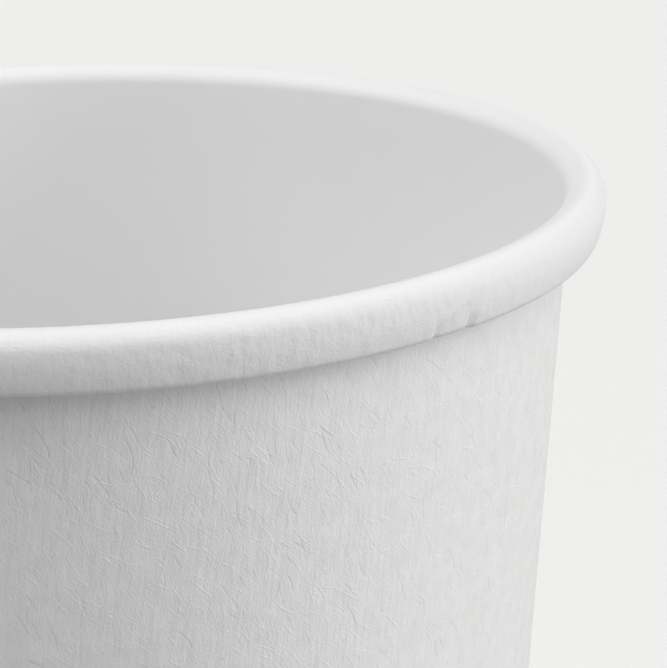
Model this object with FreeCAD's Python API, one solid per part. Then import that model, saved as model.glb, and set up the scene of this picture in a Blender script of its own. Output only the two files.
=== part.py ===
"""Paper soup container: a lapped cone of coated board with a rolled rim, and a disc held in its foot.

Millimetres. +Z is up and is the container's axis. The origin is on the table, under the centre.

Both pieces are sheets of board, so each section is drawn as the path of the sheet's middle line in
the (radius, height) plane: straight runs and bends, one after another. The board's two faces lie
half a thickness to each side of that path. A section is then turned about the axis.
"""

import FreeCAD, Part
import math
import os

# ---------------------------------------------------------------------------------------------
# Driving dimensions
# ---------------------------------------------------------------------------------------------

RIM_DIAMETER = 98.0        # over the rolled rim
FOOT_DIAMETER = 75.0       # over the wall's outer face, carried straight down to the table
HEIGHT = 99.0              # table to the top of the rolled rim

WALL_BOARD = 0.45          # thickness of the side wall's board
BASE_BOARD = 0.40          # thickness of the base's board

ROLL_WIDTH = 3.65          # wall's inner face to the rim's outermost point, at the roll's mid height
ROLL_HEIGHT = 5.25         # top of the rolled rim to its underside
ROLL_CROWN_SHIFT = 0.07    # crown of the roll, outward from the middle of the roll's width
ROLL_TIGHT_TURN = 86.0     # degrees of tight bend from the roll's crown to its nearly flat outer side
ROLL_LOWER_TURN = 70.0     # degrees of tight bend from the outer side to the underside
ROLL_LOWER_BEND = 0.10     # radius left inside that lower bend, where two boards lie in it
ROLL_TUCK = 1.50           # straight end of the board, turned up inside the roll
TUCK_CLEARANCE = 0.05      # tucked end to a lapped wall

BASE_RECESS = 7.50         # table to the underside of the base
BASE_BEND = 0.55           # inside radius of the bend between the base's floor and its skirt
SKIRT_END_GAP = 0.60       # end of the skirt to the bottom of the pocket that the foot's fold makes
FOLD_STOP = 1.30           # end of the wall's fold to the underside of the base
CREASE_RADIUS = 0.08       # inside radius of the two creases of the foot
SEAL_LINE = 0.03           # film of coating between the skirt and each board that holds it

SEAM_LAP = 6.50            # width of the side seam's lap, at the rim
SEAM_RAMP = 3.50           # width over which the outer end climbs onto the inner end, at the rim
SEAM_PRESS = 0.05          # how far the heat seal presses the two ends into each other
SEAM_AZIMUTH = 135.0       # degrees from +X towards +Y, at the inner end's cut edge
SEAM_FOOT_CLEARANCE = 1.00  # table to where the lap begins: below it the foot is pressed flat

# ---------------------------------------------------------------------------------------------
# Paths: a run is a straight stretch, a bend turns by degrees, left if positive
# ---------------------------------------------------------------------------------------------


def run(length):
    return ("run", length, 0.0)


def bend(radius, turn):
    return ("bend", radius, turn)


def step_left(point, heading, distance):
    """The point that lies `distance` to the left of `point`, for someone facing `heading`."""
    angle = math.radians(heading)
    return (point[0] - distance * math.sin(angle), point[1] + distance * math.cos(angle))


def walk(start, heading, path):
    """Every stretch of a path, as (start point, start heading, kind, size, turn), and the end."""
    stretches = []
    point = start
    for kind, size, turn in path:
        stretches.append((point, heading, kind, size, turn))
        if kind == "run":
            angle = math.radians(heading)
            point = (point[0] + size * math.cos(angle), point[1] + size * math.sin(angle))
        else:
            reach = math.copysign(size, turn)
            centre = step_left(point, heading, reach)
            heading += turn
            point = step_left(centre, heading, -reach)
    return stretches, point, heading


def face_line(start, heading, path, left):
    """Edges of the line that runs `left` beside a path, from its start to its end."""
    edges = []
    stretches = walk(start, heading, path)[0]
    for point, facing, kind, size, turn in stretches:
        finish = walk(point, facing, [(kind, size, turn)])
        first = in_section(step_left(point, facing, left))
        last = in_section(step_left(finish[1], finish[2], left))
        if kind == "run":
            edges.append(Part.LineSegment(first, last).toShape())
        else:
            halfway = walk(point, facing, [(kind, size, turn / 2)])
            middle = in_section(step_left(halfway[1], halfway[2], left))
            edges.append(Part.Arc(first, middle, last).toShape())
    return edges


def in_section(point):
    return FreeCAD.Vector(point[0], 0.0, point[1])


def board_section(start, heading, path, thickness, shift=0.0):
    """Closed outline of a board of this thickness, whose middle lies `shift` left of the path."""
    left_face = face_line(start, heading, path, shift + thickness / 2)
    right_face = face_line(start, heading, path, shift - thickness / 2)
    first_end = Part.LineSegment(left_face[0].Vertexes[0].Point, right_face[0].Vertexes[0].Point)
    last_end = Part.LineSegment(left_face[-1].Vertexes[-1].Point, right_face[-1].Vertexes[-1].Point)
    edges = left_face + right_face + [first_end.toShape(), last_end.toShape()]
    return Part.Wire(Part.__sortEdges__(edges))


# ---------------------------------------------------------------------------------------------
# Turning a section about the container's axis
# ---------------------------------------------------------------------------------------------

ORIGIN = FreeCAD.Vector(0, 0, 0)
AXIS = FreeCAD.Vector(0, 0, 1)


def turned_to(section, azimuth):
    placed = section.copy()
    placed.rotate(ORIGIN, AXIS, azimuth)
    return placed


def swept_round(section, azimuth=0.0, sweep=360.0):
    return Part.Face(turned_to(section, azimuth)).revolve(ORIGIN, AXIS, sweep)


# ---------------------------------------------------------------------------------------------
# The wall's line
# ---------------------------------------------------------------------------------------------

RIM_RADIUS = RIM_DIAMETER / 2
FOOT_RADIUS = FOOT_DIAMETER / 2

# The wall's outer face passes through the foot's edge, and its inner face through the point
# ROLL_WIDTH inside the rim's edge. The lean is the one that leaves the board between the two.
INNER_FACE_OUT = RIM_RADIUS - ROLL_WIDTH - FOOT_RADIUS
INNER_FACE_UP = HEIGHT - ROLL_HEIGHT / 2
LEAN = math.degrees(
    math.atan2(INNER_FACE_OUT, INNER_FACE_UP)
    + math.asin(WALL_BOARD / math.hypot(INNER_FACE_OUT, INNER_FACE_UP))
)
LEAN_SIN = math.sin(math.radians(LEAN))
LEAN_COS = math.cos(math.radians(LEAN))
UP_THE_WALL = 90.0 - LEAN


def radius_inside_wall(depth, height):
    """Radius, at a height, of the line that runs `depth` inside the wall's outer face."""
    return FOOT_RADIUS + (height * LEAN_SIN - depth) / LEAN_COS


# ---------------------------------------------------------------------------------------------
# Foot: the wall turns in at the table and back up, which leaves a pocket for the base's skirt
# ---------------------------------------------------------------------------------------------

POCKET = BASE_BOARD + 2 * SEAL_LINE
CREASE_MIDDLE = CREASE_RADIUS + WALL_BOARD / 2
LAND = (POCKET + WALL_BOARD - 2 * CREASE_MIDDLE) / LEAN_COS
LAND_HEIGHT = WALL_BOARD / 2

CREASE_CENTRE_HEIGHT = LAND_HEIGHT + CREASE_MIDDLE
LAND_OUTER_RADIUS = radius_inside_wall(CREASE_MIDDLE + WALL_BOARD / 2, CREASE_CENTRE_HEIGHT)
LAND_INNER_RADIUS = LAND_OUTER_RADIUS - LAND

FOLD_TOP = BASE_RECESS - FOLD_STOP
FOLD_BOTTOM = LAND_HEIGHT + CREASE_MIDDLE * (1 + LEAN_SIN)
FOLD_RUN = (FOLD_TOP - FOLD_BOTTOM) / LEAN_COS
FOLD_START = (
    LAND_INNER_RADIUS - CREASE_MIDDLE * LEAN_COS + FOLD_RUN * LEAN_SIN,
    FOLD_TOP,
)

WALL_BOTTOM = LAND_HEIGHT + CREASE_MIDDLE * (1 - LEAN_SIN)
FOOT_RUN = (SEAM_FOOT_CLEARANCE - WALL_BOTTOM) / LEAN_COS

FOOT_PATH = [
    run(FOLD_RUN),
    bend(CREASE_MIDDLE, 90.0 + LEAN),
    run(LAND),
    bend(CREASE_MIDDLE, UP_THE_WALL),
    run(FOOT_RUN),
]
DOWN_THE_FOLD = -90.0 - LEAN

# ---------------------------------------------------------------------------------------------
# Wall and rolled rim: up the wall, over the crown, down the outer side and in underneath
# ---------------------------------------------------------------------------------------------

# The crown stands near the middle of the roll's width. The bend that leads to it touches both the
# wall's line and the level of the crown.
CROWN_RADIUS = RIM_RADIUS - ROLL_WIDTH / 2 + ROLL_CROWN_SHIFT
CROWN_HEIGHT = HEIGHT - WALL_BOARD / 2
CROWN_OUT = (CROWN_RADIUS - radius_inside_wall(WALL_BOARD / 2, CROWN_HEIGHT)) * LEAN_COS
INNER_BEND = CROWN_OUT / (1 - LEAN_SIN)

WALL_TOP = CROWN_HEIGHT - INNER_BEND * (1 - LEAN_SIN)
WALL_RUN = (WALL_TOP - SEAM_FOOT_CLEARANCE) / LEAN_COS

# The outer side is a tight bend, a wide one and a tighter one. The first two have the radii that
# reach from the crown out to the rim's edge and down to the underside. A run leads back to under
# the crown.
ROLL_REACH = RIM_RADIUS - WALL_BOARD / 2 - CROWN_RADIUS
ROLL_DROP = ROLL_HEIGHT - WALL_BOARD
TIGHT_SIN = math.sin(math.radians(ROLL_TIGHT_TURN))
TIGHT_COS = math.cos(math.radians(ROLL_TIGHT_TURN))
LOWER_SIN = math.sin(math.radians(ROLL_LOWER_TURN))
LOWER_COS = math.cos(math.radians(ROLL_LOWER_TURN))
LOWER_BEND = ROLL_LOWER_BEND + 1.5 * WALL_BOARD - SEAM_PRESS

TIGHT_SHARE = (1 - TIGHT_COS) / TIGHT_SIN
WIDE_DROP = ROLL_DROP - ROLL_REACH * TIGHT_SHARE - LOWER_BEND * (1 - LOWER_COS)
WIDE_BEND = WIDE_DROP / (TIGHT_COS + LOWER_COS - (1 - TIGHT_SIN) * TIGHT_SHARE)
TIGHT_BEND = (ROLL_REACH - WIDE_BEND * (1 - TIGHT_SIN)) / TIGHT_SIN
WIDE_OUT = WIDE_BEND * (LOWER_SIN - TIGHT_SIN)
UNDERSIDE_RUN = TIGHT_BEND * TIGHT_SIN + WIDE_OUT - LOWER_BEND * LOWER_SIN

WALL_PATH = [
    run(WALL_RUN),
    bend(INNER_BEND, -UP_THE_WALL),
    bend(TIGHT_BEND, -ROLL_TIGHT_TURN),
    bend(WIDE_BEND, ROLL_TIGHT_TURN + ROLL_LOWER_TURN - 180.0),
    bend(LOWER_BEND, -ROLL_LOWER_TURN),
    run(UNDERSIDE_RUN),
]
WALL_START = walk(FOLD_START, DOWN_THE_FOLD, FOOT_PATH)[1]

# The last bend brings the board back up beside the wall, far enough off it for a lapped wall.
TUCK_START = walk(WALL_START, UP_THE_WALL, WALL_PATH)[1]
TUCK_GAP = WALL_BOARD + TUCK_CLEARANCE
UNDERSIDE_TO_WALL = (TUCK_START[0] - radius_inside_wall(0.0, TUCK_START[1])) * LEAN_COS
TUCK_BEND = (UNDERSIDE_TO_WALL - TUCK_GAP - WALL_BOARD / 2) / (1 + LEAN_SIN)

TUCK_PATH = [
    bend(TUCK_BEND, -90.0 - LEAN),
    run(ROLL_TUCK),
]

# ---------------------------------------------------------------------------------------------
# Base: a flat floor, a bend and a skirt that hangs in the foot's pocket, against the wall
# ---------------------------------------------------------------------------------------------

BASE_MIDDLE_HEIGHT = BASE_RECESS + BASE_BOARD / 2
BASE_BEND_MIDDLE = BASE_BEND + BASE_BOARD / 2
SKIRT_DEPTH = WALL_BOARD + SEAL_LINE + BASE_BOARD / 2
BASE_BEND_HEIGHT = BASE_MIDDLE_HEIGHT - BASE_BEND_MIDDLE
FLOOR_RADIUS = radius_inside_wall(SKIRT_DEPTH + BASE_BEND_MIDDLE, BASE_BEND_HEIGHT)
SKIRT_TOP = BASE_BEND_HEIGHT - BASE_BEND_MIDDLE * LEAN_SIN
SKIRT_RUN = (SKIRT_TOP - WALL_BOARD - SKIRT_END_GAP) / LEAN_COS

BASE_PATH = [
    run(FLOOR_RADIUS),
    bend(BASE_BEND_MIDDLE, -90.0 - LEAN),
    run(SKIRT_RUN),
]

# ---------------------------------------------------------------------------------------------
# The two pieces
# ---------------------------------------------------------------------------------------------


def side_wall():
    """One blank: folded foot, wall with its lapped side seam, and rolled rim."""
    lap_turn = math.degrees(SEAM_LAP / RIM_RADIUS)
    ramp_turn = math.degrees(SEAM_RAMP / RIM_RADIUS)

    foot = board_section(FOLD_START, DOWN_THE_FOLD, FOOT_PATH, WALL_BOARD)
    tuck = board_section(TUCK_START, 180.0, TUCK_PATH, WALL_BOARD)
    wall = board_section(WALL_START, UP_THE_WALL, WALL_PATH, WALL_BOARD)
    lapped = board_section(
        WALL_START, UP_THE_WALL, WALL_PATH, WALL_BOARD, SEAM_PRESS - WALL_BOARD
    )

    # The blank starts at the seam's cut edge and goes round. Just before it is back there, it
    # climbs over its own start, and it ends a lap's width further on.
    once_round = swept_round(wall, SEAM_AZIMUTH, 360.0 - ramp_turn)
    climb = Part.makeLoft(
        [turned_to(wall, SEAM_AZIMUTH - ramp_turn), turned_to(lapped, SEAM_AZIMUTH)], True, True
    )
    lap = swept_round(lapped, SEAM_AZIMUTH, lap_turn)

    blank = once_round.multiFuse([climb, lap, swept_round(foot), swept_round(tuck)])
    return blank.removeSplitter()


def base_disc():
    """One blank: flat floor with its skirt turned down."""
    return swept_round(board_section((0.0, BASE_MIDDLE_HEIGHT), 0.0, BASE_PATH, BASE_BOARD))


def report(name, shape):
    box = shape.optimalBoundingBox(False)
    print(
        f"{name}: {len(shape.Solids)} solid, valid {shape.isValid()}, volume {shape.Volume:.1f} mm3,"
        f" {box.XLength:.3f} x {box.YLength:.3f} x {box.ZLength:.3f} mm from height {box.ZMin:.3f}"
    )


def build():
    os.makedirs("parts", exist_ok=True)
    pieces = {"side_wall": side_wall(), "base_disc": base_disc()}
    for name, shape in pieces.items():
        report(name, shape)
        shape.exportStep(f"parts/{name}.step")
    print(f"lean {LEAN:.3f} deg, crown radius {CROWN_RADIUS:.3f}, land {LAND:.3f}")
    print(f"roll bends {INNER_BEND:.3f}, {TIGHT_BEND:.3f}, {WIDE_BEND:.3f}, {LOWER_BEND:.3f}")
    print(f"underside run {UNDERSIDE_RUN:.3f}, tuck bend {TUCK_BEND:.3f}")


build()
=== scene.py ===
# %% [markdown]
# # A paper soup container from two sheets of board
#
# A soup container looks like a solid cup, but it is two thin sheets. One is bent into a cone,
# lapped on itself, rolled over at the top and folded under at the bottom. The other is a shallow
# tray held in that fold. This lesson models each sheet the way the machine makes it: draw the line
# that the board follows, carry it once round the axis, and give it the board's thickness at the
# very end.
#
# The container was worked out first as a CAD model. It gives the size that nothing may pass.

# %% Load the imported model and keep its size
import math

import bmesh
import bpy
from mathutils import Matrix, Vector


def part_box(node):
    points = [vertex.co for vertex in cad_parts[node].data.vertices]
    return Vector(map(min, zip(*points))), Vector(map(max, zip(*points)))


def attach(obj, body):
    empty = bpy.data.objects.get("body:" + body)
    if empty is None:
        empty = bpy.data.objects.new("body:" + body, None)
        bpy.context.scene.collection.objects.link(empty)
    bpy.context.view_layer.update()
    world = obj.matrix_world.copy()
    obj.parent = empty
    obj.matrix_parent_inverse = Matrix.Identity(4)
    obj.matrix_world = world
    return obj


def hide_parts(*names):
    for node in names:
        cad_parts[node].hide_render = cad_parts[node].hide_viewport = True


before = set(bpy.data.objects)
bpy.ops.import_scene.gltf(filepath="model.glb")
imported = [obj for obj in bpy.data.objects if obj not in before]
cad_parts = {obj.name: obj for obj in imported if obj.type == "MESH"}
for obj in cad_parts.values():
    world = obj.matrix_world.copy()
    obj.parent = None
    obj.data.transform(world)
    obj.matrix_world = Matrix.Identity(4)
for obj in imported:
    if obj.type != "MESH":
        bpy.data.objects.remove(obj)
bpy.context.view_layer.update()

# %% [markdown]
# ## Sizes
#
# The work goes in millimetres, which suits a thing made of half-millimetre board, and every mesh
# is brought to metres when it is done. The two overall sizes come from the CAD model. The foot's
# radius and the thickness of the two boards are those of a usual half-litre container.

# %% Overall sizes, in millimetres
MM = 0.001
INSIDE_BOX = 0.005         # the sheets stay this far inside the CAD model's box
FOOT_RADIUS = 37.5         # over the wall's outer face, carried straight down to the table
WALL_BOARD = 0.45
BASE_BOARD = 0.40

wall_low, wall_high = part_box("side_wall")
RIM_RADIUS = (wall_high.x - wall_low.x) / 2 / MM - INSIDE_BOX
HEIGHT = wall_high.z / MM - 2 * INSIDE_BOX
print(f"rim radius {RIM_RADIUS:.2f} mm, height {HEIGHT:.2f} mm")

# %% [markdown]
# ## Drawing the line of a sheet
#
# A sheet of board can only run straight or bend, so its section is a list of runs and bends. A run
# is one vertex extruded and moved a few times. A bend is the same vertex spun about the bend's
# centre. Both leave the vertices in order, from one cut edge of the board to the other.

# %% Helpers that draw runs and bends
QUARTER = math.pi / 2


def facing(heading):
    """A step of 1 mm in the section, which stands on the X axis."""
    return Vector((math.cos(heading), 0.0, math.sin(heading)))


def run(length, steps):
    return ("run", length, 0.0, steps)


def bend(radius, turn, steps):
    """A bend to the left is positive. The radius is that of the sheet's middle."""
    return ("bend", radius, turn, steps)


def draw_line(bm, start, heading, path):
    """Draws the path as a chain of edges, from its start. Returns the vertices in order."""
    tip = bm.verts.new((start[0], 0.0, start[1]))
    line = [tip]
    for kind, size, turn, steps in path:
        if kind == "run":
            for _ in range(steps):
                tip = bmesh.ops.extrude_vert_indiv(bm, verts=[tip])["verts"][0]
                bmesh.ops.translate(bm, verts=[tip], vec=facing(heading) * size / steps)
                line.append(tip)
        else:
            centre = tip.co + facing(heading + QUARTER) * math.copysign(size, turn)
            drawn = set(line)
            bmesh.ops.spin(bm, geom=[tip], cent=centre, axis=(0, -1, 0), angle=turn, steps=steps)
            line += [vertex for vertex in bm.verts if vertex not in drawn]
            tip = line[-1]
            heading += turn
    return line


trial_mesh = bmesh.new()
trial_path = [run(2.0, steps=2), bend(1.0, QUARTER, steps=4)]
trial_line = draw_line(trial_mesh, (0.0, 0.0), 0.0, trial_path)
print(f"a run of 2 steps and a bend of 4 make {len(trial_line)} vertices in a row")
trial_mesh.free()

# %% [markdown]
# ## The lean and the foot
#
# The wall leans out by almost five degrees. Its outer face starts from the foot's edge, and its
# inner face ends one roll's width inside the rim, so the lean follows from the two diameters. The
# fold in the foot is a pocket, just wide enough for the skirt of the base with a film of seal on
# each side.

# %% Work out the lean and the foot
ROLL_WIDTH = 3.65          # wall's inner face to the rim's outermost point
ROLL_HEIGHT = 5.25
FOLD_TOP = 6.20            # table to the cut edge inside the foot
CREASE_RADIUS = 0.08       # inside the two sharp bends of the fold
SEAL_LINE = 0.03

half_board = WALL_BOARD / 2
face_out = RIM_RADIUS - ROLL_WIDTH - FOOT_RADIUS
face_up = HEIGHT - ROLL_HEIGHT / 2
LEAN = math.atan2(face_out, face_up) + math.asin(WALL_BOARD / math.hypot(face_out, face_up))
UP_THE_WALL = QUARTER - LEAN


def radius_inside_wall(depth, height):
    """Radius, at a height, of the line that runs `depth` inside the wall's outer face."""
    return FOOT_RADIUS + (height * math.sin(LEAN) - depth) / math.cos(LEAN)


crease = CREASE_RADIUS + half_board
land = (BASE_BOARD + 2 * SEAL_LINE + WALL_BOARD - 2 * crease) / math.cos(LEAN)
fold_run = (FOLD_TOP - half_board - crease * (1 + math.sin(LEAN))) / math.cos(LEAN)
land_inner_radius = radius_inside_wall(crease + half_board, half_board + crease) - land
fold_start_radius = land_inner_radius - crease * math.cos(LEAN) + fold_run * math.sin(LEAN)
print(f"lean {math.degrees(LEAN):.2f} degrees, fold {fold_run:.2f} mm deep and {land:.2f} mm wide")

# %% [markdown]
# ## The roll
#
# At the top the board bends out over the crown, turns tightly down onto a nearly flat outer side,
# turns tightly again onto a short underside, and ends tucked up inside. The machine's curling
# groove sets the turns. The radii of the bends then follow from the width and height that the roll
# has to reach.

# %% Work out the roll
ROLL_CROWN_SHIFT = 0.07    # the crown, outwards from the middle of the roll's width
ROLL_TIGHT_TURN = math.radians(86.0)    # from the crown to the nearly flat outer side
ROLL_LOWER_TURN = math.radians(70.0)    # from there to the underside
ROLL_LOWER_BEND = 0.725    # radius of the sheet's middle, so that a lapped sheet fits inside it
ROLL_TUCK = 1.50
TUCK_GAP = 0.50            # wall to the tucked end, enough for a lapped wall

crown_radius = RIM_RADIUS - ROLL_WIDTH / 2 + ROLL_CROWN_SHIFT
crown_height = HEIGHT - half_board
crown_out = (crown_radius - radius_inside_wall(half_board, crown_height)) * math.cos(LEAN)
inner_bend = crown_out / (1 - math.sin(LEAN))
wall_bottom = half_board + crease * (1 - math.sin(LEAN))
wall_run = (crown_height - inner_bend * (1 - math.sin(LEAN)) - wall_bottom) / math.cos(LEAN)

roll_reach = RIM_RADIUS - half_board - crown_radius
tight_sin, tight_cos = math.sin(ROLL_TIGHT_TURN), math.cos(ROLL_TIGHT_TURN)
lower_sin, lower_cos = math.sin(ROLL_LOWER_TURN), math.cos(ROLL_LOWER_TURN)
tight_share = (1 - tight_cos) / tight_sin
wide_drop = (
    ROLL_HEIGHT - WALL_BOARD - roll_reach * tight_share - ROLL_LOWER_BEND * (1 - lower_cos)
)
wide_bend = wide_drop / (tight_cos + lower_cos - (1 - tight_sin) * tight_share)
tight_bend = (roll_reach - wide_bend * (1 - tight_sin)) / tight_sin
underside_run = (
    tight_bend * tight_sin + wide_bend * (lower_sin - tight_sin) - ROLL_LOWER_BEND * lower_sin
)
underside_height = HEIGHT - ROLL_HEIGHT + half_board
underside_out = (crown_radius - radius_inside_wall(0.0, underside_height)) * math.cos(LEAN)
tuck_bend = (underside_out - TUCK_GAP - half_board) / (1 + math.sin(LEAN))
print(f"roll bends {inner_bend:.2f}, {tight_bend:.2f}, {wide_bend:.2f}, {ROLL_LOWER_BEND:.2f} and"
      f" {tuck_bend:.2f} mm, wall straight for {wall_run:.1f} mm")

# %% [markdown]
# The line starts at the cut edge inside the foot, goes down the fold and back up the whole wall,
# and ends at the cut edge tucked away inside the roll. The bends get short steps, because their
# light and shade show every flat, and the long wall needs few.

# %% The wall's path, from cut edge to cut edge
WALL_PATH = [
    run(fold_run, steps=6),
    bend(crease, QUARTER + LEAN, steps=8),
    run(land, steps=1),
    bend(crease, UP_THE_WALL, steps=8),
    run(wall_run, steps=26),
    bend(inner_bend, -UP_THE_WALL, steps=14),
    bend(tight_bend, -ROLL_TIGHT_TURN, steps=9),
    bend(wide_bend, ROLL_TIGHT_TURN + ROLL_LOWER_TURN - math.pi, steps=12),
    bend(ROLL_LOWER_BEND, -ROLL_LOWER_TURN, steps=10),
    run(underside_run, steps=2),
    bend(tuck_bend, -QUARTER - LEAN, steps=8),
    run(ROLL_TUCK, steps=2),
]

wall_mesh = bmesh.new()
along_layer = wall_mesh.verts.layers.float.new("along")
across_layer = wall_mesh.verts.layers.float_vector.new("across")
turn_layer = wall_mesh.verts.layers.float.new("turn")
blank_layer = wall_mesh.verts.layers.float_vector.new("blank")
rolled_layer = wall_mesh.verts.layers.float.new("rolled")
wall_line = draw_line(
    wall_mesh, (fold_start_radius, FOLD_TOP + INSIDE_BOX), -QUARTER - LEAN, WALL_PATH
)
highest = max(vertex.co.z for vertex in wall_line)
widest = max(vertex.co.x for vertex in wall_line)
print(f"{len(wall_line)} points, middle line up to {highest:.2f} mm high and {widest:.2f} mm out")

# %% [markdown]
# Before the line is carried round, each vertex is given two facts that its copies keep: how far
# along the board it lies, and which way the board's outer face looks there. The first places the
# paper's texture later. The second tells the lap of the side seam which way to climb.

# %% Note the way along the board and the way off its face
def note_along(line, along):
    """Writes how far each vertex is from the start. Returns the line's whole length."""
    travelled = 0.0
    for index, vertex in enumerate(line):
        travelled += (vertex.co - line[max(index - 1, 0)].co).length
        vertex[along] = travelled
    return travelled


def note_across(line, across):
    """Writes the way that the board's outer face looks, square to the line."""
    for index, vertex in enumerate(line):
        before = line[max(index - 1, 0)].co
        after = line[min(index + 1, len(line) - 1)].co
        ahead = (after - before).normalized()
        vertex[across] = (ahead.z, 0.0, -ahead.x)


note_across(wall_line, across_layer)
sheet_length = note_along(wall_line, along_layer)
print(f"the blank is {sheet_length:.1f} mm from cut edge to cut edge")

# %% [markdown]
# ## Round the axis, and past its own start
#
# The blank is wrapped round a cone until its end lies on its beginning. So the line is spun a
# little more than a full turn and nothing is merged: the last few millimetres are the lap. The
# spin goes in stages, because some stretches of the rim need closer steps than others.

# %% Spin the line round the axis in stages
SEAM_AZIMUTH = math.radians(135.0)   # from +X towards +Y, at the back left
LAP_TURN = 6.50 / RIM_RADIUS         # the lap and its ramp, in millimetres along the rim
RAMP_TURN = 3.50 / RIM_RADIUS
DENT_TURN = math.radians(310.0)      # where the roll has its small dent
DENT_MARGIN = math.radians(5.0)      # closer steps on either side of it

stages = [                           # how far each goes, and in how many steps
    (DENT_TURN - DENT_MARGIN - SEAM_AZIMUTH, 150),
    (2 * DENT_MARGIN, 96),
    (math.tau - (DENT_TURN + DENT_MARGIN - SEAM_AZIMUTH) - RAMP_TURN, 154),
    (RAMP_TURN, 16),
    (LAP_TURN, 10),
]

bmesh.ops.rotate(
    wall_mesh, verts=wall_mesh.verts, cent=(0, 0, 0), matrix=Matrix.Rotation(SEAM_AZIMUTH, 3, "Z")
)

edge_loop = wall_mesh.verts[:] + wall_mesh.edges[:]
turned = 0.0
for angle, steps in stages:
    made = set(wall_mesh.verts)
    spun = bmesh.ops.spin(
        wall_mesh, geom=edge_loop, cent=(0, 0, 0), axis=(0, 0, 1), angle=angle, steps=steps
    )
    edge_loop = spun["geom_last"]
    for vertex in wall_mesh.verts:
        if vertex not in made:
            azimuth = math.atan2(vertex.co.y, vertex.co.x)
            vertex[turn_layer] = turned + (azimuth - SEAM_AZIMUTH - turned) % math.tau
    turned += angle
print(f"turned {math.degrees(turned):.1f} degrees, {len(wall_mesh.faces)} faces")

# %% [markdown]
# Where the end climbs onto the beginning it moves out by one board, over a short ramp. At the foot
# there is no room below, so there the layers under it rise by one board instead, and sink back to
# the table once they are clear of the lap.

# %% Lay the end over the beginning
LAYER = WALL_BOARD + 0.01    # a hair more than a board, so that the layers don't cut each other
FOOT_RAISED = 1.0            # below this height the layers rise in full
FOOT_LEVEL = 5.5             # above this one they don't


def ease(value):
    """0 below 0, 1 above 1, and smooth between."""
    value = min(max(value, 0.0), 1.0)
    return value * value * (3 - 2 * value)


def off_face(vertex):
    """The way the board's outer face looked at a vertex when the line was carried to its place."""
    azimuth = vertex[turn_layer] + SEAM_AZIMUTH
    out, _, up = vertex[across_layer]
    return Vector((out * math.cos(azimuth), out * math.sin(azimuth), up))


def lay_over(bm):
    for vertex in bm.verts:
        turn = vertex[turn_layer]
        climbed = ease((turn - math.tau + RAMP_TURN) / RAMP_TURN)
        covered = ease((LAP_TURN + RAMP_TURN - turn) / RAMP_TURN)
        near_foot = 1 - ease((vertex.co.z - FOOT_RAISED) / (FOOT_LEVEL - FOOT_RAISED))
        if climbed or covered:
            vertex.co += off_face(vertex) * LAYER * climbed
            vertex.co.z += LAYER * max(climbed, covered) * near_foot


lay_over(wall_mesh)
print(f"lap of {math.degrees(LAP_TURN):.1f} degrees laid over")

# %% [markdown]
# ## A real roll is a little uneven
#
# The lower half of the roll waves gently in and out. It also has a knock, and rolled board creases
# where it is knocked: a small flat is pressed in, its top edge shows as a faint line, and a notch
# at each end cuts the roll's lower edge. Everything moves along the way the board's face looks, so
# the sheet keeps its thickness. On the roll that face looks into the hollow.

# %% Press the waves and the dent into the roll
wall_starts = fold_run + crease * (QUARTER + LEAN) + land + crease * UP_THE_WALL
crown_place = wall_starts + wall_run + inner_bend * UP_THE_WALL
flank_place = crown_place + tight_bend * ROLL_TIGHT_TURN
flank_end = flank_place + wide_bend * (math.pi - ROLL_TIGHT_TURN - ROLL_LOWER_TURN)
bottom_place = flank_end + ROLL_LOWER_BEND * ROLL_LOWER_TURN
ROLL_WAVES = (                 # waves round the rim, their phase, and half their depth
    (3, math.radians(54.0), 0.040),
    (7, math.radians(6.0), 0.020),
)
DENT_DEPTH = 0.06
NOTCH_DEPTH = 0.15
NOTCH_STEEP_SIDE = 0.35        # along the rim, before a notch and after it
NOTCH_SHALLOW_SIDE = 1.10
NOTCH_LOWNESS = 4              # a power that keeps the notches to the roll's lower edge
NOTCH_OFFSET = math.radians(2.3)    # from the middle of the dent to the notch at each end
FLAT_LINE_START = 0.75         # the flat's top edge, as a share of the way down the outer side
FLAT_LINE_END = 0.20
FLAT_STEP = 0.20               # width of that edge, in millimetres
FLAT_RISE = 0.10               # the flat's two ends, as shares of the way from notch to notch
FLAT_STOP = 1.35
FLAT_FADE = 0.25


def wave_depth(azimuth):
    return sum(half * (1 + math.cos(count * azimuth + phase)) for count, phase, half in ROLL_WAVES)


def notch_shape(past):
    """1 at the notch, and 0 once clear of it. `past` is in millimetres along the rim."""
    return max(0.0, 1 - (past / NOTCH_SHALLOW_SIDE if past > 0 else -past / NOTCH_STEEP_SIDE))


def dent_depth(azimuth, along, low):
    past_middle = azimuth - DENT_TURN
    first = notch_shape((past_middle + NOTCH_OFFSET) * RIM_RADIUS)
    second = notch_shape((past_middle - NOTCH_OFFSET) * RIM_RADIUS)
    share = 0.5 + past_middle / (2 * NOTCH_OFFSET)
    line_share = FLAT_LINE_START + (FLAT_LINE_END - FLAT_LINE_START) * share
    line_place = flank_place + line_share * (flank_end - flank_place)
    inside = ease(share / FLAT_RISE) * ease((FLAT_STOP - share) / FLAT_FADE)
    flat = DENT_DEPTH * ease((along - line_place) / FLAT_STEP) * inside
    return flat + NOTCH_DEPTH * low ** NOTCH_LOWNESS * (first + second)


def press_roll(bm):
    """Moves the roll's vertices off their line. Returns the deepest move."""
    deepest = 0.0
    for vertex in bm.verts:
        along = vertex[along_layer]
        if along < flank_place:
            continue
        azimuth = vertex[turn_layer] + SEAM_AZIMUTH
        low = ease((along - flank_place) / (flank_end - flank_place))
        clear_of_tuck = 1 - ease((along - bottom_place) / (underside_run + tuck_bend))
        depth = wave_depth(azimuth) * low + dent_depth(azimuth, along, low)
        vertex.co += off_face(vertex) * depth * clear_of_tuck
        deepest = max(deepest, depth * clear_of_tuck)
    return deepest


print(f"the roll is pressed in by {press_roll(wall_mesh):.2f} mm at most")

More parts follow.
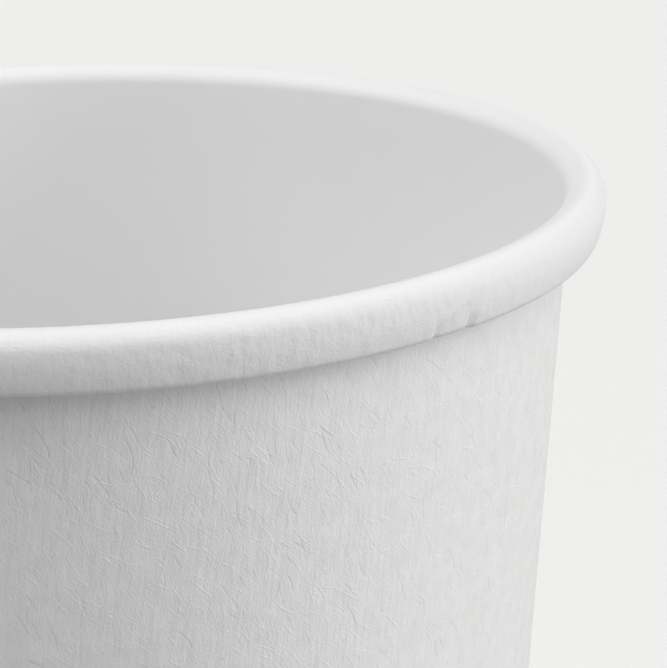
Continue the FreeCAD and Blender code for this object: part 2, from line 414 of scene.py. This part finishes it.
# %% [markdown]
# ## A place on the flat blank
#
# The paper's texture has to follow the board, not the space around it. A cone unrolls flat without
# stretching, so each vertex is told where it would lie on the flat blank: a fan round the cone's
# tip. The solid mesh keeps that place as an attribute, and the materials read it.

# %% Note each vertex's place on the flat blank
tip_to_foot = FOOT_RADIUS / math.sin(LEAN)
ROUGHENED_FROM = 0.5       # of the way round the bend to the crown
roll_starts = wall_starts + wall_run + inner_bend * UP_THE_WALL * ROUGHENED_FROM


def note_blank(bm):
    for vertex in bm.verts:
        from_tip = tip_to_foot + vertex[along_layer] - wall_starts
        fan = vertex[turn_layer] * math.sin(LEAN)
        up_the_blank = from_tip * math.cos(fan) - tip_to_foot
        vertex[blank_layer] = (from_tip * math.sin(fan), up_the_blank, 0.0)
        vertex[rolled_layer] = ease((vertex[along_layer] - roll_starts) / inner_bend)


note_blank(wall_mesh)
print(f"the cone's tip is {tip_to_foot:.0f} mm below the foot")

# %% [markdown]
# ## Thickness
#
# The sheet is still a surface without thickness. First every face is turned to look off the outer
# face of the board. Then a Solidify modifier, centred on the line, gives it two faces and closes
# the cut edges. Its material offsets tell the three finishes apart: matt outside, coated inside,
# and the bare cut edge.

# %% Helpers that finish a sheet
OUTSIDE, INSIDE, CUT_EDGE = 0, 1, 2    # places of the materials on a sheet
SHARP_FROM = math.radians(40.0)        # a corner sharper than this is shaded as an edge


def face_outwards(bm, test_direction):
    """Makes the faces agree with each other, and turns them all if the test comes out negative."""
    bmesh.ops.recalc_face_normals(bm, faces=bm.faces)
    bm.normal_update()
    if test_direction(bm) < 0:
        bmesh.ops.reverse_faces(bm, faces=bm.faces)


def finish_sheet(bm, name, board):
    """Turns the sheet into an object with the board's thickness, in metres."""
    bmesh.ops.scale(bm, vec=(MM, MM, MM), verts=bm.verts)
    mesh = bpy.data.meshes.new(name + "_sheet")
    bm.to_mesh(mesh)
    bm.free()
    piece = bpy.data.objects.new(name, mesh)
    bpy.context.scene.collection.objects.link(piece)
    thickness = piece.modifiers.new("board", "SOLIDIFY")
    thickness.thickness = board * MM
    thickness.offset = 0.0
    thickness.use_even_offset = True
    thickness.material_offset = INSIDE
    thickness.material_offset_rim = CUT_EDGE
    for _ in (OUTSIDE, INSIDE, CUT_EDGE):
        mesh.materials.append(None)
    evaluated = piece.evaluated_get(bpy.context.evaluated_depsgraph_get())
    solid = bpy.data.meshes.new_from_object(evaluated)
    piece.modifiers.clear()
    piece.data = solid
    solid.name = name
    solid.polygons.foreach_set("use_smooth", [True] * len(solid.polygons))
    solid.set_sharp_from_angle(angle=SHARP_FROM)
    print(f"{name}: {len(solid.vertices)} vertices, {len(solid.polygons)} faces")
    return piece


# %% [markdown]
# The wall's faces have to look away from the axis before the board gets its thickness. A face half
# way up tells whether they do, since the lap, the roll and the fold are all elsewhere.

# %% Thicken the side wall
def wall_looks_out(bm):
    """Positive if the faces half way up the wall look away from the axis."""
    face = min(bm.faces, key=lambda face: abs(face.calc_center_median().z - HEIGHT / 2))
    middle = face.calc_center_median()
    return face.normal.x * middle.x + face.normal.y * middle.y


face_outwards(wall_mesh, wall_looks_out)
side_wall = finish_sheet(wall_mesh, "soup_container_wall", WALL_BOARD)

# %% [markdown]
# ## The base
#
# The base is pressed from a round blank: a flat floor, a tight bend and a short skirt that hangs
# in the pocket of the foot. Its line starts on the axis and a full spin merges it into one
# surface.

# %% Draw the line of the base
BASE_RECESS = 7.50         # table to the underside of the base
BASE_BEND = 0.55
SKIRT_END = 1.05           # table to the end of the base's skirt

base_bend = BASE_BEND + BASE_BOARD / 2
base_level = BASE_RECESS + BASE_BOARD / 2
skirt_depth = WALL_BOARD + SEAL_LINE + BASE_BOARD / 2
floor_radius = radius_inside_wall(skirt_depth + base_bend, base_level - base_bend)
skirt_top = base_level - base_bend * (1 + math.sin(LEAN))
skirt_run = (skirt_top - SKIRT_END) / math.cos(LEAN)

base_mesh = bmesh.new()
base_along = base_mesh.verts.layers.float.new("along")
base_blank = base_mesh.verts.layers.float_vector.new("blank")
BASE_PATH = [
    run(floor_radius, steps=24),
    bend(base_bend, -QUARTER - LEAN, steps=12),
    run(skirt_run, steps=5),
]
base_line = draw_line(base_mesh, (0.0, base_level + INSIDE_BOX), 0.0, BASE_PATH)
base_blank_radius = note_along(base_line, base_along)
print(f"the base's blank is {2 * base_blank_radius:.1f} mm across")

# %% [markdown]
# The spun base is one surface with its pole on the axis. A pressed tray can't be laid flat without
# pleats, but its round blank can: a vertex lies as far from the middle as the line has travelled,
# in its own direction. The floor's faces look down, to the outside, before the board is thickened.

# %% Spin and thicken the base
BASE_STEPS = 256
MERGE_DISTANCE = 0.0005

bmesh.ops.spin(
    base_mesh,
    geom=base_mesh.verts[:] + base_mesh.edges[:],
    cent=(0, 0, 0),
    axis=(0, 0, 1),
    angle=math.tau,
    steps=BASE_STEPS,
    use_merge=True,
)
bmesh.ops.remove_doubles(base_mesh, verts=base_mesh.verts, dist=MERGE_DISTANCE)
for vertex in base_mesh.verts:
    outward = Vector((vertex.co.x, vertex.co.y, 0.0)).normalized()
    vertex[base_blank] = outward * vertex[base_along]


def floor_looks_down(bm):
    """Positive if the floor's faces look down, to the outside of the container."""
    face = max(bm.faces, key=lambda face: face.calc_center_median().z)
    return -face.normal.z


face_outwards(base_mesh, floor_looks_down)
base_disc = finish_sheet(base_mesh, "soup_container_base", BASE_BOARD)

# %% [markdown]
# ## Node helpers
#
# The finishes are built from nodes, so a few small helpers keep the cells short. They add a node
# or a group and give each of its inputs a number or a link, add one step of arithmetic, or mix two
# colours. The last one starts a node group with named sockets.

# %% Helpers for nodes
MIX_SHARE, MIX_FIRST, MIX_SECOND, MIX_RESULT = 0, 6, 7, 2    # a Mix node's colour sockets


def fill_inputs(tree, node, inputs):
    """Gives each input, named or numbered, a value, or a socket to link from."""
    for place, value in inputs.items():
        if isinstance(value, bpy.types.NodeSocket):
            tree.links.new(value, node.inputs[place])
        else:
            node.inputs[place].default_value = value
    return node


def add_node(tree, kind, inputs=None, **settings):
    """Adds a node with its settings, and fills its inputs."""
    made = tree.nodes.new("ShaderNode" + kind)
    for name, value in settings.items():
        setattr(made, name, value)
    return fill_inputs(tree, made, inputs or {})


def calc(tree, operation, *values):
    """One step of arithmetic. Returns its result, ready to link."""
    return add_node(tree, "Math", dict(enumerate(values)), operation=operation).outputs[0]


def vector_calc(tree, operation, *values):
    made = add_node(tree, "VectorMath", dict(enumerate(values)), operation=operation)
    return made.outputs["Vector"]


def turned_in_plane(tree, place, angle):
    """A place on the flat blank, turned about the blank's own origin."""
    made = add_node(tree, "VectorRotate", {"Vector": place, "Angle": angle}, rotation_type="Z_AXIS")
    return made.outputs[0]


def mix_colours(tree, share, first, second):
    colours = {MIX_SHARE: share, MIX_FIRST: first, MIX_SECOND: second}
    return add_node(tree, "Mix", colours, data_type="RGBA").outputs[MIX_RESULT]


def add_group(tree, group, inputs):
    """Places a node group, with its own values. Returns its outputs."""
    made = tree.nodes.new("ShaderNodeGroup")
    made.node_tree = group
    return fill_inputs(tree, made, inputs).outputs


def new_group(name, inputs, outputs):
    """An empty node group with named sockets. Returns its tree, its inputs and its output node."""
    tree = bpy.data.node_groups.new(name, "ShaderNodeTree")
    for label, kind in inputs:
        tree.interface.new_socket(label, in_out="INPUT", socket_type="NodeSocket" + kind)
    for label, kind in outputs:
        tree.interface.new_socket(label, in_out="OUTPUT", socket_type="NodeSocket" + kind)
    given = tree.nodes.new("NodeGroupInput").outputs
    return tree, given, tree.nodes.new("NodeGroupOutput")


# %% [markdown]
# ## One layer of fibres
#
# Paper is a felt of wood fibres, each a millimetre or two long and a tenth wide. In the light from
# one side they show as fine bright and dark strokes. A single layer is a field of long narrow
# cells, all lying one way, with a short curved ridge in each. The cell's own random colour tilts,
# bows and shortens its ridge, so no two are alike.

# %% Group: one layer of fibres
FIBRE_TILT = 0.75          # spread of the ridges' directions, in radians
FIBRE_BOW = 0.16           # how far one bends, for each millimetre along it squared
FIBRE_SHORTEST = 0.14      # half of a ridge, as a share of its cell's length
FIBRE_LONGER = 0.32        # added to the longest
FIBRE_END = 0.12           # share of the cell's length over which an end fades
CELL_RANDOMNESS = 0.9
MIDDLING = 0.5             # the middle of a chance that runs from 0 to 1
RESHUFFLE = 23.7           # makes a second chance out of the first
SEED_SHIFT = (17.31, 9.47)    # moves each layer to a place of its own, in millimetres a seed

layer_tree, given, result = new_group(
    "fibre_layer",
    [("Place", "Vector"), ("Direction", "Float"), ("Seed", "Float"), ("Length", "Float"),
     ("Spacing", "Float"), ("Half Width", "Float"), ("Share", "Float")],
    [("Height", "Float")],
)


def fibre_height(tree, given):
    turned = turned_in_plane(tree, given["Place"], given["Direction"])
    shifts = [calc(tree, "MULTIPLY", given["Seed"], size) for size in SEED_SHIFT]
    shift = add_node(tree, "CombineXYZ", dict(enumerate(shifts))).outputs[0]
    cell_size = add_node(
        tree, "CombineXYZ", {0: given["Length"], 1: given["Spacing"], 2: 1.0}
    ).outputs[0]
    cells = vector_calc(tree, "DIVIDE", vector_calc(tree, "ADD", turned, shift), cell_size)
    nearest = add_node(
        tree, "TexVoronoi", {"Vector": cells, "Scale": 1.0, "Randomness": CELL_RANDOMNESS},
        voronoi_dimensions="2D",
    )
    cells_away = vector_calc(tree, "SUBTRACT", cells, nearest.outputs["Position"])
    away = vector_calc(tree, "MULTIPLY", cells_away, cell_size)
    chance = add_node(tree, "SeparateColor", {0: nearest.outputs["Color"]}).outputs
    tilt = calc(tree, "MULTIPLY", calc(tree, "SUBTRACT", chance[0], MIDDLING), FIBRE_TILT)
    place = add_node(tree, "SeparateXYZ", {0: turned_in_plane(tree, away, tilt)}).outputs
    bow = calc(tree, "MULTIPLY", calc(tree, "SUBTRACT", chance[1], MIDDLING), 2 * FIBRE_BOW)
    bowed = calc(tree, "SUBTRACT", place[1],
                 calc(tree, "MULTIPLY", bow, calc(tree, "MULTIPLY", place[0], place[0])))
    across = calc(tree, "DIVIDE", bowed, given["Half Width"])
    ridge = calc(tree, "MAXIMUM", 0.0,
                 calc(tree, "SUBTRACT", 1.0, calc(tree, "MULTIPLY", across, across)))
    reach = calc(tree, "MULTIPLY", given["Length"],
                 calc(tree, "MULTIPLY_ADD", chance[2], FIBRE_LONGER, FIBRE_SHORTEST))
    left = calc(tree, "DIVIDE", calc(tree, "SUBTRACT", reach, calc(tree, "ABSOLUTE", place[0])),
                calc(tree, "MULTIPLY", given["Length"], FIBRE_END))
    ends = calc(tree, "MINIMUM", 1.0, calc(tree, "MAXIMUM", 0.0, left))
    luck = calc(tree, "DIVIDE", calc(tree, "FRACT", calc(tree, "MULTIPLY", chance[1], RESHUFFLE)),
                given["Share"])
    strength = calc(tree, "MAXIMUM", 0.0, calc(tree, "SUBTRACT", 1.0, luck))
    body = calc(tree, "MULTIPLY", ridge, calc(tree, "MULTIPLY", strength, strength))
    return calc(tree, "MULTIPLY", body, ends)


layer_tree.links.new(fibre_height(layer_tree, given), result.inputs["Height"])
print(f"a fibre layer takes {len(layer_tree.nodes)} nodes")

# %% [markdown]
# ## The felt
#
# Layers laid over each other make the felt. The paper machine lays most fibres its own way, so the
# layers lean towards one direction. Long thin fibres lie on top as light lines, short wide gaps
# between fibres sink in, and a dense fine layer fills the rest. A slow wander of the place bends
# them all a little, and each fibre nudges the ones that cross it.

# %% Group: the felt of fibres
# One row a layer: direction in degrees; length, spacing and half width in millimetres; the share of
# cells that hold a fibre; and its height in millimetres, below zero where it is a gap.
FELT_LAYERS = (
    (126.0, 3.8, 0.78, 0.066, 0.90, 0.0230),
    (114.0, 3.0, 0.72, 0.060, 0.90, 0.0190),
    (136.0, 3.2, 0.85, 0.058, 0.85, 0.0170),
    (62.0, 2.6, 1.10, 0.056, 0.70, 0.0130),
    (90.0, 4.0, 1.05, 0.125, 0.75, -0.0190),
    (112.0, 3.4, 1.15, 0.125, 0.75, -0.0180),
    (78.0, 1.5, 0.30, 0.068, 1.00, 0.0115),
    (104.0, 1.3, 0.26, 0.063, 1.00, 0.0105),
    (30.0, 1.4, 0.40, 0.062, 0.90, 0.0095),
)
FIBRE_NUDGE = 6.0          # how far a fibre pushes the ones that cross it, for its height
WANDER_SCALE = 0.20
WANDER_REACH = 0.7

felt_tree, given, result = new_group(
    "paper_felt", [("Place", "Vector"), ("Strength", "Float")], [("Height", "Float")]
)


def felt_height(tree, given):
    wander = add_node(tree, "TexNoise",
                      {"Vector": given["Place"], "Scale": WANDER_SCALE, "Detail": 1.0},
                      noise_dimensions="2D")
    centred = vector_calc(tree, "SUBTRACT", wander.outputs["Color"], (MIDDLING,) * 3)
    drift = vector_calc(tree, "MULTIPLY", centred, (WANDER_REACH, WANDER_REACH, 0.0))
    place = vector_calc(tree, "ADD", given["Place"], drift)
    total = 0.0
    for seed, (direction, length, spacing, half_width, share, height) in enumerate(FELT_LAYERS):
        settings = {
            "Place": place, "Direction": -math.radians(direction), "Seed": seed + 1.0,
            "Length": length, "Spacing": spacing, "Half Width": half_width, "Share": share,
        }
        fibres = add_group(tree, layer_tree, settings)
        raised = calc(tree, "MULTIPLY", fibres["Height"], height)
        total = calc(tree, "ADD", total, raised)
        nudge = calc(tree, "MULTIPLY", raised, FIBRE_NUDGE)
        sideways = add_node(tree, "CombineXYZ", {0: nudge, 1: nudge}).outputs[0]
        place = vector_calc(tree, "ADD", place, sideways)
    return calc(tree, "MULTIPLY", total, given["Strength"])


felt_tree.links.new(felt_height(felt_tree, given), result.inputs["Height"])
print(f"the felt lays {len(FELT_LAYERS)} layers over each other")

# %% [markdown]
# ## Grain
#
# Beside its fibres, paper has reliefs without a shape of their own: a fine grain, clouds where the
# felt is thicker, and wrinkles where it was rolled. All of them are one smooth noise at different
# sizes. A small group makes it, and every finish places that with its own scale and height.

# %% Group: paper grain
grain_tree, given, result = new_group(
    "paper_grain",
    [("Place", "Vector"), ("Scale", "Float"), ("Detail", "Float"), ("Height", "Float")],
    [("Height", "Float"), ("Mask", "Float")],
)
speckle = add_node(
    grain_tree, "TexNoise",
    {"Vector": given["Place"], "Scale": given["Scale"], "Detail": given["Detail"]},
    noise_dimensions="2D",
).outputs["Fac"]
grain_tree.links.new(speckle, result.inputs["Mask"])
speckle_height = calc(grain_tree, "MULTIPLY", speckle, given["Height"])
grain_tree.links.new(speckle_height, result.inputs["Height"])


def grain(tree, place, scale, height, detail=2.0):
    """Places the group. Features are 1 / scale across. Returns its Height and its Mask, 0 to 1."""
    settings = {"Place": place, "Scale": scale, "Detail": detail, "Height": height}
    return add_group(tree, grain_tree, settings)


print(f"the grain takes {len(grain_tree.nodes)} nodes")

# %% [markdown]
# ## One board, three finishes
#
# Outside, the board is bare and matt, and the felt shows. Inside, a film of coating fills the
# hollows and leaves a soft sheen. The cut edge shows the plies. All three start from the same pale
# colour, and their patterns lie on the flat blank, so they bend with the board.

# %% Helpers for the finishes
BOARD_COLOUR = (0.867, 0.867, 0.869, 1.0)
BOARD_SHEEN = 0.25


def blank_place(tree):
    return add_node(tree, "Attribute", attribute_name="blank").outputs["Vector"]


def board_material(name, roughness):
    material = bpy.data.materials.new(name)
    material.use_nodes = True
    shader = material.node_tree.nodes["Principled BSDF"]
    shader.inputs["Base Color"].default_value = BOARD_COLOUR
    shader.inputs["Roughness"].default_value = roughness
    shader.inputs["Specular IOR Level"].default_value = BOARD_SHEEN
    return material, material.node_tree, shader


def bump_from(tree, height):
    """Turns a height in millimetres into a normal."""
    bump = add_node(tree, "Bump", {"Strength": 1.0, "Distance": MM, "Height": height})
    return bump.outputs["Normal"]


def add_heights(tree, first, *others):
    for other in others:
        first = calc(tree, "ADD", first, other)
    return first


def name_and_size(material):
    return f"{material.name}: {len(material.node_tree.nodes)} nodes"


# %% [markdown]
# The outside is where the fibres show, as relief and, faintly, as painted light and shade: a fibre
# on top is painted a little paler, as if it caught the light, and a gap is painted a little darker,
# as painted shade. The paper machine also leaves long soft streaks, and a sheet always has a few
# dark flecks of bark.

# %% The matt outside
OUTSIDE_ROUGHNESS = 0.75
FELT_STRENGTH = 1.0
# The two ends of the outside's tone: the fibres' height pushes towards them as painted light on
# raised fibres and painted shade in the gaps, and the clouds and flecks as the board's own tone.
DARK_TONE_AND_PAINTED_SHADE = (0.75, 0.75, 0.745, 1.0)
LIGHT_TONE_AND_PAINTED_LIGHT = (0.985, 0.985, 0.98, 1.0)
PAINTED_FIBRE_LIGHT_AND_SHADE = 13.0                # for each millimetre of height
EVEN_SHADE = 0.5                  # half way from the dark to the light tone
STREAK_TURN = math.radians(20.0)
STREAK_SHAPE = (1.7, 0.28, 0.0)   # streaks a millimetre, across and along the wall
STREAK_HEIGHT = 0.055
GRAIN_SCALE = 5.5
GRAIN_HEIGHT = 0.020
CLOUD_SCALE = 0.5
CLOUD_HEIGHT = 0.040
CLOUD_SHADE = 0.40
FLECK_SCALE = 0.12                # cells a millimetre, with a dark fleck in each
FLECK_RADIUS = 0.10
FLECK_SHADE = 1.1


def outside_finish():
    material, tree, shader = board_material("matt_board_outside", OUTSIDE_ROUGHNESS)
    place = blank_place(tree)
    felt = add_group(tree, felt_tree, {"Place": place, "Strength": FELT_STRENGTH})["Height"]
    turned = turned_in_plane(tree, place, STREAK_TURN)
    drawn_out = vector_calc(tree, "MULTIPLY", turned, STREAK_SHAPE)
    streaks = grain(tree, drawn_out, 1.0, STREAK_HEIGHT)["Height"]
    fine = grain(tree, place, GRAIN_SCALE, GRAIN_HEIGHT, 1.0)["Height"]
    clouds = grain(tree, place, CLOUD_SCALE, CLOUD_HEIGHT)
    height = add_heights(tree, felt, streaks, fine, clouds["Height"])
    tree.links.new(bump_from(tree, height), shader.inputs["Normal"])
    # Painted light and shade: by their height, raised fibres are painted paler and gaps darker.
    shade = calc(tree, "MULTIPLY_ADD", felt, PAINTED_FIBRE_LIGHT_AND_SHADE, EVEN_SHADE)
    cloudy = calc(tree, "SUBTRACT", clouds["Mask"], EVEN_SHADE)
    shade = calc(tree, "MULTIPLY_ADD", cloudy, CLOUD_SHADE, shade)
    fleck_cells = add_node(tree, "TexVoronoi", {"Vector": place, "Scale": FLECK_SCALE},
                           voronoi_dimensions="2D").outputs["Distance"]
    fleck = calc(tree, "LESS_THAN", fleck_cells, FLECK_RADIUS * FLECK_SCALE)
    shade = calc(tree, "SUBTRACT", shade, calc(tree, "MULTIPLY", fleck, FLECK_SHADE))
    colour = mix_colours(tree, shade, DARK_TONE_AND_PAINTED_SHADE, LIGHT_TONE_AND_PAINTED_LIGHT)
    tree.links.new(colour, shader.inputs["Base Color"])
    print(name_and_size(material))
    return material


matt_outside = outside_finish()

# %% [markdown]
# The film inside is smooth on the flat wall. The curling tool stretches it over the rim, where it
# comes out roughened and finely wrinkled across the roll. The attribute "rolled" fades that in.

# %% The coated inside, and the rim
INSIDE_ROUGHNESS = 0.60
FILM_GRAIN_SCALE = 4.0
FILM_GRAIN_HEIGHT = 0.004
WRINKLES_ROUND = 0.75 * RIM_RADIUS   # wrinkles for each radian round the rim
WRINKLES_ALONG = 0.25
WRINKLE_HEIGHT = 0.088
ROLLED_GRAIN_HEIGHT = 0.026
ROLLED_CLOUD_SCALE = 0.75
ROLLED_CLOUD_HEIGHT = 0.075


def inside_finish():
    material, tree, shader = board_material("coated_board_inside", INSIDE_ROUGHNESS)
    rolled = add_node(tree, "Attribute", attribute_name="rolled").outputs["Fac"]
    around = add_node(tree, "Attribute", attribute_name="turn").outputs["Fac"]
    along = add_node(tree, "Attribute", attribute_name="along").outputs["Fac"]
    rim_place = add_node(tree, "CombineXYZ", {0: calc(tree, "MULTIPLY", around, WRINKLES_ROUND),
                                              1: calc(tree, "MULTIPLY", along, WRINKLES_ALONG)})
    wrinkles = grain(tree, rim_place.outputs[0], 1.0, WRINKLE_HEIGHT)["Height"]
    place = blank_place(tree)
    clouds = grain(tree, place, ROLLED_CLOUD_SCALE, ROLLED_CLOUD_HEIGHT)["Height"]
    rough = grain(tree, place, GRAIN_SCALE, ROLLED_GRAIN_HEIGHT)["Height"]
    film = grain(tree, place, FILM_GRAIN_SCALE, FILM_GRAIN_HEIGHT)["Height"]
    height = calc(tree, "MULTIPLY_ADD", add_heights(tree, wrinkles, clouds, rough), rolled, film)
    tree.links.new(bump_from(tree, height), shader.inputs["Normal"])
    print(name_and_size(material))
    return material


coated_inside = inside_finish()

# %% [markdown]
# The blade leaves the cut edge ragged. It is the one place where the middle of the board shows, a
# little darker and with marks across it.

# %% The bare cut edge
EDGE_ROUGHNESS = 0.85
EDGE_MARKS = 5.0
EDGE_DETAIL = 3.0
EDGE_HEIGHT = 0.06
DARK_EDGE = (0.66, 0.655, 0.64, 1.0)
LIGHT_EDGE = (0.90, 0.895, 0.88, 1.0)


def edge_finish():
    material, tree, shader = board_material("bare_board_edge", EDGE_ROUGHNESS)
    marks = grain(tree, blank_place(tree), EDGE_MARKS, EDGE_HEIGHT, EDGE_DETAIL)
    tree.links.new(bump_from(tree, marks["Height"]), shader.inputs["Normal"])
    colour = mix_colours(tree, marks["Mask"], DARK_EDGE, LIGHT_EDGE)
    tree.links.new(colour, shader.inputs["Base Color"])
    print(name_and_size(material))
    return material


bare_edge = edge_finish()

# %% [markdown]
# ## Put the finishes on, and the pieces in their places
#
# Each sheet was made with three empty places for materials, in the order outside, inside and cut
# edge. Then it is joined to the body it moves with, and the plain piece of the CAD model that it
# stands in for is hidden.

# %% Give the sheets their finishes
finishes = {OUTSIDE: matt_outside, INSIDE: coated_inside, CUT_EDGE: bare_edge}
for piece in (side_wall, base_disc):
    for place, material in finishes.items():
        piece.data.materials[place] = material
    print(piece.name, "wears", [material.name for material in piece.data.materials])

# %% Join the pieces to the frame
for piece, node, slot in (
    (side_wall, "side_wall", "wall_board"),
    (base_disc, "base_disc", "base_board"),
):
    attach(piece, "root")
    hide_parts(node)
    print(f"{piece.name} stands in for {node}")

# %% [markdown]
# ## The studio
#
# The floor and the world show their pale colour only to rays that look at them: the camera's, and
# those mirrored or passed by a surface. To all other rays they are darker, so that the lamps alone
# shape the container, and the floor still takes its shadow.

# %% Floor
FLOOR_HALF = 3.0               # metres from the container to the floor's edge
FLOOR_ROUGHNESS = 0.9
FLOOR_SEEN = (0.90, 0.90, 0.888, 1.0)
FLOOR_LIGHTING = (0.30, 0.30, 0.30, 1.0)


def looked_at(tree):
    """1 for rays from the camera, and for those that a surface mirrors or lets through."""
    rays = add_node(tree, "LightPath").outputs
    mirrored = calc(tree, "MAXIMUM", rays["Is Camera Ray"], rays["Is Glossy Ray"])
    return calc(tree, "MAXIMUM", mirrored, rays["Is Transmission Ray"])


floor_mesh = bmesh.new()
bmesh.ops.create_grid(floor_mesh, x_segments=1, y_segments=1, size=FLOOR_HALF)
floor_data = bpy.data.meshes.new("floor")
floor_mesh.to_mesh(floor_data)
floor_mesh.free()
floor = bpy.data.objects.new("floor", floor_data)
bpy.context.scene.collection.objects.link(floor)
floor_material, floor_tree, floor_shader = board_material("pale_floor", FLOOR_ROUGHNESS)
floor_shader.inputs["Specular IOR Level"].default_value = 0.0
floor_colour = mix_colours(floor_tree, looked_at(floor_tree), FLOOR_LIGHTING, FLOOR_SEEN)
floor_tree.links.new(floor_colour, floor_shader.inputs["Base Color"])
floor.data.materials.append(floor_material)
print(f"floor {2 * FLOOR_HALF:.0f} m wide")

# %% World
WORLD_COLOUR = (1.0, 1.0, 0.985, 1.0)
WORLD_SEEN = 0.86
WORLD_LIGHTING = 0.03

world = bpy.data.worlds.new("studio")
bpy.context.scene.world = world
world.use_nodes = True
background = world.node_tree.nodes["Background"]
background.inputs["Color"].default_value = WORLD_COLOUR
world_strength = calc(world.node_tree, "MULTIPLY_ADD", looked_at(world.node_tree),
                      WORLD_SEEN - WORLD_LIGHTING, WORLD_LIGHTING)
world.node_tree.links.new(world_strength, background.inputs["Strength"])
print(f"world seen at {WORLD_SEEN} and lighting at {WORLD_LIGHTING}")

# %% [markdown]
# ## Lamps
#
# White board on a white ground is drawn by its shade alone. The light comes mostly from the right
# and from high on the left, and little from the front, so that the wall darkens to the left and
# the roll throws a soft shade on it. Suns are used because their light is the same all over the
# object, and a wide angle makes each as soft as a big lamp. A sun of strength pi shows a square-on
# face as its colour.

# %% Lamps
LAMP_SPREAD = 40.0
LAMPS = (                      # name, azimuth and height in degrees, strength as a share of pi
    ("right_low", 0.0, 12.0, 0.50),
    ("front_low", -50.0, 12.0, 0.20),
    ("front_high", -60.0, 47.0, 0.33),
    ("left_high", 180.0, 50.0, 0.69),
)


def sun(name, azimuth, elevation, strength):
    """A distant lamp. Azimuth is in the container's frame, from +X towards +Y."""
    lamp = bpy.data.lights.new(name, "SUN")
    lamp.energy = strength * math.pi
    lamp.angle = math.radians(LAMP_SPREAD)
    rig = bpy.data.objects.new(name, lamp)
    level = Matrix.Rotation(math.radians(azimuth), 3, "Z") @ Vector((1.0, 0.0, 0.0))
    raised = math.radians(elevation)
    towards = level * math.cos(raised) + Vector((0.0, 0.0, math.sin(raised)))
    rig.rotation_euler = towards.to_track_quat("Z", "Y").to_euler()
    bpy.context.scene.collection.objects.link(rig)


for row in LAMPS:
    sun(*row)
print(f"{len(LAMPS)} lamps, each {LAMP_SPREAD:.0f} degrees wide")

# %% [markdown]
# ## Camera
#
# A long lens stands close to the rim and looks down on it by about fifteen degrees, so that the
# roll fills the frame and its far side stays nearly as large as its near one. The camera turns a
# little to the right and leans by a degree. It is placed from the middle of the roll. The Standard
# view then shows each colour as it was written.

# %% Camera
CAMERA_DISTANCE = 311.34       # millimetres, from the axis at the height of the roll's middle
CAMERA_RISE = math.radians(14.376)
CAMERA_YAW = math.radians(4.700)
CAMERA_PITCH = math.radians(16.607)
CAMERA_ROLL = math.radians(-1.140)
CAMERA_LENS = 188.623
SENSOR_WIDTH = 36.0
NEAREST_SEEN = 0.01            # metres

camera_data = bpy.data.cameras.new("camera")
camera_data.sensor_width = SENSOR_WIDTH
camera_data.lens = CAMERA_LENS
camera_data.clip_start = NEAREST_SEEN
camera = bpy.data.objects.new("camera", camera_data)
bpy.context.scene.collection.objects.link(camera)
bpy.context.scene.camera = camera

look = Vector((
    math.sin(CAMERA_YAW) * math.cos(CAMERA_PITCH),
    math.cos(CAMERA_YAW) * math.cos(CAMERA_PITCH),
    -math.sin(CAMERA_PITCH),
))
level_right = look.cross(Vector((0, 0, 1))).normalized()
level_up = level_right.cross(look)
right = level_right * math.cos(CAMERA_ROLL) + level_up * math.sin(CAMERA_ROLL)
up = level_up * math.cos(CAMERA_ROLL) - level_right * math.sin(CAMERA_ROLL)
roll_middle = HEIGHT - ROLL_HEIGHT / 2
camera.matrix_world = Matrix((
    (right.x, up.x, -look.x, 0.0),
    (right.y, up.y, -look.y, -CAMERA_DISTANCE * math.cos(CAMERA_RISE) * MM),
    (right.z, up.z, -look.z, (roll_middle + CAMERA_DISTANCE * math.sin(CAMERA_RISE)) * MM),
    (0.0, 0.0, 0.0, 1.0),
))

bpy.context.scene.view_settings.view_transform = "Standard"
print(f"lens {CAMERA_LENS:.0f} mm, {CAMERA_DISTANCE:.0f} mm from the roll's middle")
